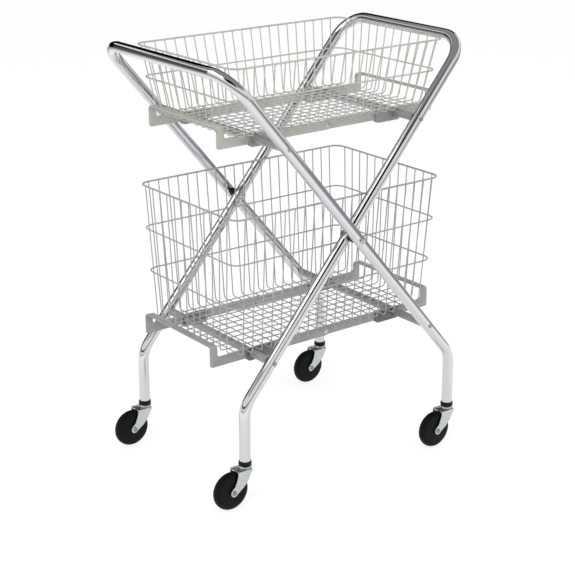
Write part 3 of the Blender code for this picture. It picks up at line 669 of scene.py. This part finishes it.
def collar_shape():
    """The collar: a spigot in the tube, and two rounded rolls below it."""
    top = COLLAR_TOP + 20 * MM
    lower_roll = [(12.9 * MM, COLLAR_BOTTOM + 1.2 * MM), (13.2 * MM, COLLAR_BOTTOM + 2.2 * MM),
                  (12.9 * MM, COLLAR_BOTTOM + 3.4 * MM), (11.8 * MM, COLLAR_BOTTOM + 4.2 * MM)]
    upper_roll = [(12.6 * MM, COLLAR_BOTTOM + 5.2 * MM), (12.9 * MM, COLLAR_BOTTOM + 6.6 * MM),
                  (12.7 * MM, COLLAR_TOP - 1.2 * MM), (11.8 * MM, COLLAR_TOP)]
    profile = [(5.3 * MM, COLLAR_BOTTOM), (12 * MM, COLLAR_BOTTOM)] + lower_roll + upper_roll
    return spun(profile + [(9.1 * MM, COLLAR_TOP), (9.1 * MM, top), (5.3 * MM, top)], 36, True)


def stem_shape():
    """The stem with its domed bearing cup and the king pin's head under the crown."""
    under = CROWN_Z - GAP
    return spun([(0, 119 * MM), (4.2 * MM, 119 * MM), (5 * MM, 118 * MM), (5 * MM, RACE_TOP),
                 (10 * MM, RACE_TOP), (12.0 * MM, RACE_TOP - 0.5 * MM), (13.1 * MM, RACE_TOP - 1.8 * MM),
                 (13.5 * MM, RACE_TOP - 3.2 * MM), (13.3 * MM, RACE_BOTTOM + 0.4 * MM),
                 (12.7 * MM, RACE_BOTTOM), (4.5 * MM, RACE_BOTTOM), (4.5 * MM, under), (7 * MM, under),
                 (6.6 * MM, under - 1.4 * MM), (5.6 * MM, under - 2 * MM), (0, under - 2 * MM)], 36)


def fork_shape():
    """The pressed fork: crown plate and two tapered cheeks that run back and down to the axle."""
    front, back, crown = 8.5 * MM, 24.5 * MM, CROWN_Z + CROWN_T
    tip, axle = 8.0 * MM, (-TRAIL, WHEEL_R)
    turns = [math.radians(150 + 15 * k) for k in range(13)]
    tail = [(axle[0] + tip * math.cos(turn), axle[1] + tip * math.sin(turn)) for turn in turns]
    cheek = [(front, crown - 3.5 * MM), (front - 0.8 * MM, crown - 0.8 * MM), (front - 3 * MM, crown),
             (-back, crown), (-back - 1.1 * MM, crown - 2 * MM), (-back - 1.6 * MM, CROWN_Z - 5 * MM),
             (-28.5 * MM, 62 * MM), (-33.0 * MM, 50.5 * MM), (-38.0 * MM, 46.5 * MM)]
    cheek += tail + [(-13.8 * MM, 43.6 * MM), (-3.3 * MM, 54.8 * MM), (4.9 * MM, CROWN_Z - 6 * MM)]
    cheeks = [moved(outline_plate(cheek, [(axle[0], axle[1], 4.3 * MM)], FORK_T, 0.6 * MM),
                    Matrix.Translation((0, side * (FORK_OUT - FORK_T / 2), 0))) for side in (-1, 1)]
    side_y = FORK_OUT - 0.3 * MM
    corners = [(front, -side_y, 0), (front, side_y, 0),
               (-back - 1 * MM, side_y, 0), (-back - 1 * MM, -side_y, 0)]
    flat = [(point[0], point[1]) for point in arcs(corners, [4 * MM, 4 * MM, 5 * MM, 5 * MM], 5, True)]
    crown_plate = moved(outline_plate(flat, [(0, 0, 4.8 * MM)], CROWN_T, 0.9 * MM),
                        Matrix.Translation((0, 0, CROWN_Z + CROWN_T / 2)) @ FLAT_TO_UPRIGHT.inverted())
    return joined(*cheeks, crown_plate)


def wheel_shape():
    """The rubber wheel about its axle: hub, slightly domed face and rounded tread."""
    half = [(4.3 * MM, 12.0 * MM), (9.4 * MM, 12.0 * MM), (10 * MM, 11.5 * MM), (11 * MM, 9.9 * MM),
            (20 * MM, 9.7 * MM), (27 * MM, 9.5 * MM), (31.5 * MM, 9.1 * MM), (34.3 * MM, 8.0 * MM),
            (36.3 * MM, 6.2 * MM), (37.6 * MM, 3.8 * MM), (38.1 * MM, 1.4 * MM)]
    return moved(spun(half + [(radius, -height) for radius, height in reversed(half)], 64, True), AXIS_Y)


def axle_shape():
    """The axle pin: a low domed rivet head on one end."""
    out = FORK_OUT + GAP
    return moved(spun([(0, out + 1.4 * MM), (1.6 * MM, out + 1.3 * MM), (3.8 * MM, out + 0.9 * MM),
                       (5.0 * MM, out + 0.1 * MM), (5.0 * MM, out), (4 * MM, out), (4 * MM, -out - 1.6 * MM),
                       (0, -out - 1.6 * MM)], 24), AXIS_Y)


def cap_shape():
    """The pressed cap on the axle's other end."""
    out = FORK_OUT + GAP
    return moved(spun([(4.3 * MM, -out), (5.6 * MM, -out), (5.2 * MM, -out - 1.5 * MM),
                       (4.6 * MM, -out - 2 * MM), (4.3 * MM, -out - 2 * MM)], 24, True), AXIS_Y)


# %% Place the four casters
for frame_name, way, half in (("outer", 1, OUTER_HALF), ("inner", -1, INNER_HALF)):
    for side_name, side in (("near", -1), ("far", 1)):
        tag = frame_name + "_" + side_name
        foot = Matrix.Translation((PIVOT_X + way * FOOT_X, side * half, 0))
        axle = foot @ Matrix.Translation((-TRAIL, 0, WHEEL_R))
        facing = axle @ Matrix.Rotation(math.radians(0 if side > 0 else 180), 4, "Z")
        above, swivel, wheel = "frame_" + frame_name, "caster_" + tag, "wheel_" + tag
        collar, cup, fork = moved(collar_shape(), foot), moved(stem_shape(), foot), moved(fork_shape(), foot)
        piece("nylon_collar_" + tag, collar, nylon, above, ["collar_" + tag])
        piece("bearing_cup_" + tag, cup, zinc, above, ["stem_" + tag])
        piece("pressed_fork_" + tag, fork, zinc, swivel, ["fork_" + tag])
        pin, cap = moved(axle_shape(), facing), moved(cap_shape(), facing)
        piece("axle_pin_" + tag, pin, pin_steel, swivel, ["axle_" + tag])
        piece("pin_cap_" + tag, cap, zinc, swivel, ["axle_cap_" + tag])
        piece("rubber_wheel_" + tag, moved(wheel_shape(), axle), rubber, wheel, [wheel])
print("casters:", made_count)

# %% [markdown]
# ## Studio
# The cart stands on a pale floor in white light. Polished tubes show whatever is round them, so a
# photographer hangs dark boards just out of the picture: they draw the black lines that make chrome read as
# metal. The boards here are seen only in reflections. For the same reason the floor is white near the cart
# and grows darker far away, but only where a reflection looks at it: a painted pool of light, with painted
# shade right under the cart.

# %% What the camera and the reflections see
def shown_to(tree):
    """A Light Path node, and 1 where the camera, a reflection or a view through glass looks."""
    path = add(tree, "ShaderNodeLightPath")
    watched = path.outputs["Is Camera Ray"]
    for kind in ("Is Glossy Ray", "Is Transmission Ray"):
        either = add(tree, "ShaderNodeMath", {"operation": "MAXIMUM"}, {0: watched, 1: path.outputs[kind]})
        watched = either.outputs[0]
    return path, watched


# %% World and floor
WHITE = (1, 1, 1, 1)
world = bpy.data.worlds.new("white_studio")
bpy.context.scene.world = world
world.use_nodes = True
tree = world.node_tree
tree.nodes.clear()
_, seen = shown_to(tree)
soft = add(tree, "ShaderNodeBackground", inputs={"Color": WHITE, "Strength": 0.62})
white = add(tree, "ShaderNodeBackground", inputs={"Color": WHITE, "Strength": 1.0})
both = add(tree, "ShaderNodeMixShader", inputs={0: seen, 1: soft.outputs[0], 2: white.outputs[0]})
add(tree, "ShaderNodeOutputWorld", inputs={"Surface": both.outputs[0]})

FLOOR_HALF = 6.0
floor_shape = bmesh.new()
bmesh.ops.create_grid(floor_shape, x_segments=1, y_segments=1, size=FLOOR_HALF)
floor_mesh = bpy.data.meshes.new("floor")
floor_shape.to_mesh(floor_mesh)
floor_shape.free()
floor = bpy.data.objects.new("floor", floor_mesh)
bpy.context.scene.collection.objects.link(floor)
floor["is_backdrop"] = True
floor_paint = bpy.data.materials.new("white_studio_floor")
floor_paint.use_nodes = True
tree = floor_paint.node_tree
tree.nodes.clear()
rays, seen = shown_to(tree)
matt = add(tree, "ShaderNodeBsdfDiffuse", inputs={"Color": (0.8, 0.8, 0.8, 1)})
dim = add(tree, "ShaderNodeBsdfDiffuse", inputs={"Color": (0.30, 0.30, 0.30, 1)})
where = add(tree, "ShaderNodeTexCoord")
far_off = add(tree, "ShaderNodeVectorMath", {"operation": "LENGTH"}, {0: where.outputs["Object"]})
# Reflections see the floor glow as a painted pool of light round the cart that fades far away.
painted_light_pool = add(tree, "ShaderNodeMapRange", {"interpolation_type": "SMOOTHSTEP"}, {
    "Value": far_off.outputs["Value"], "From Min": 1.1, "From Max": 3.2, "To Min": 0.97, "To Max": 0.30})
# Painted shade: the glow dims right under the cart, a painted shadow of the cart in the reflections.
under = add(tree, "ShaderNodeMapRange", {"interpolation_type": "SMOOTHSTEP"}, {
    "Value": far_off.outputs["Value"], "From Min": 0.4, "From Max": 0.95, "To Min": 0.80, "To Max": 1.0})
shade = add(tree, "ShaderNodeMath", {"operation": "MULTIPLY"}, {0: painted_light_pool.outputs["Result"],
                                                                1: under.outputs["Result"]})
bright = add(tree, "ShaderNodeMix", {"data_type": "FLOAT"}, {
    "Factor": rays.outputs["Is Glossy Ray"], "A": 0.80, "B": shade.outputs[0]})
glow = add(tree, "ShaderNodeEmission", inputs={"Color": WHITE, "Strength": bright.outputs["Result"]})
lit = add(tree, "ShaderNodeAddShader", inputs={0: dim.outputs[0], 1: glow.outputs[0]})
both = add(tree, "ShaderNodeMixShader", inputs={0: seen, 1: matt.outputs[0], 2: lit.outputs[0]})
add(tree, "ShaderNodeOutputMaterial", inputs={"Surface": both.outputs[0]})
floor_mesh.materials.append(floor_paint)
print("floor", FLOOR_HALF * 2, "m wide")

# %% Lamps
def softbox(name, place, target, size, watts):
    """A square soft lamp aimed at a point."""
    lamp = bpy.data.lights.new(name, "AREA")
    lamp.size = size
    lamp.energy = watts
    holder = bpy.data.objects.new(name, lamp)
    holder.location = place
    holder.rotation_mode = "QUATERNION"
    holder.rotation_quaternion = (Vector(target) - Vector(place)).to_track_quat("-Z", "Y")
    bpy.context.scene.collection.objects.link(holder)
    return holder


key = softbox("key_softbox", (-2.2, -1.2, 2.6), (0, 0, 0.4), 1.6, 34)
fill = softbox("fill_softbox", (2.4, -2.2, 1.8), (0, 0, 0.4), 1.8, 16)
for lamp in (key, fill):
    lamp.visible_glossy = False
print("lamps:", key.name, fill.name)

# %% Boards that only reflections see
def board_paint(name, colour, strength):
    """A board that shows one even shade in the chrome, whatever the lamps do."""
    made = bpy.data.materials.new(name)
    made.use_nodes = True
    made.node_tree.nodes.clear()
    shade = add(made.node_tree, "ShaderNodeEmission", inputs={"Color": linear(colour), "Strength": strength})
    add(made.node_tree, "ShaderNodeOutputMaterial", inputs={"Surface": shade.outputs[0]})
    return made


def board(name, shape, material):
    """A board that neither the camera nor the lamps' light can see."""
    mesh = bpy.data.meshes.new(name)
    shape.to_mesh(mesh)
    shape.free()
    mesh.materials.append(material)
    made = bpy.data.objects.new(name, mesh)
    bpy.context.scene.collection.objects.link(made)
    made.visible_camera = False
    made.visible_diffuse = False
    made.visible_shadow = False
    made.visible_transmission = False
    made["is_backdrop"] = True
    return made


def wall(name, radius, low, high, start, end, material):
    """Part of an upright ring round the cart, between two bearings in degrees from +X."""
    shape = bmesh.new()
    steps = 24
    turns = [math.radians(start + (end - start) * k / steps) for k in range(steps + 1)]
    verts = [shape.verts.new((radius * math.cos(turn), radius * math.sin(turn), low)) for turn in turns]
    edges = [shape.edges.new(pair) for pair in zip(verts, verts[1:])]
    grown = bmesh.ops.extrude_edge_only(shape, edges=edges)["geom"]
    lifted = [part for part in grown if isinstance(part, bmesh.types.BMVert)]
    bmesh.ops.translate(shape, verts=lifted, vec=(0, 0, high - low))
    return board(name, shape, material)


black_board = board_paint("black_flag", "#050505", 1.0)
dark_board = board_paint("dark_grey_flag", "#5E5E60", 1.0)
grey_board = board_paint("grey_flag", "#9C9CA0", 1.0)
pale_board = board_paint("pale_flag", "#A4A4A8", 1.0)
white_board = board_paint("white_panel", "#FFFFFF", 1.9)
# Each board: its distance, its lower and upper edge in metres, and its two bearings in degrees from +X.
for name, radius, lower, upper, start, end, paint in (
        ("right_back_flag", 2.4, 0.90, 2.80, 24, 98, black_board),
        ("back_flag", 2.4, 0.50, 1.85, 98, 122, black_board),
        ("corner_flag", 2.4, 0.50, 1.85, 122, 140, dark_board),
        ("camera_flag", 1.7, 1.45, 2.88, 208, 250, black_board),
        ("left_panel", 1.5, 1.45, 2.88, 134, 202, white_board),
        ("horizon_flag", 3.2, 0.45, 0.80, 120, 290, dark_board),
        ("right_flag", 3.0, 0.0, 0.95, -62, 39, pale_board)):
    wall(name, radius, lower, upper, start, end, paint)
CEILING_R, CEILING_Z = 3.4, 2.9
ceiling = bmesh.new()
bmesh.ops.create_circle(ceiling, cap_ends=True, segments=48, radius=CEILING_R,
                        matrix=Matrix.Translation((0, 0, CEILING_Z)))
board("ceiling_flag", ceiling, grey_board)
print("boards hung")

# %% Look and sizes
bpy.context.scene.view_settings.view_transform = "Standard"
low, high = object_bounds()
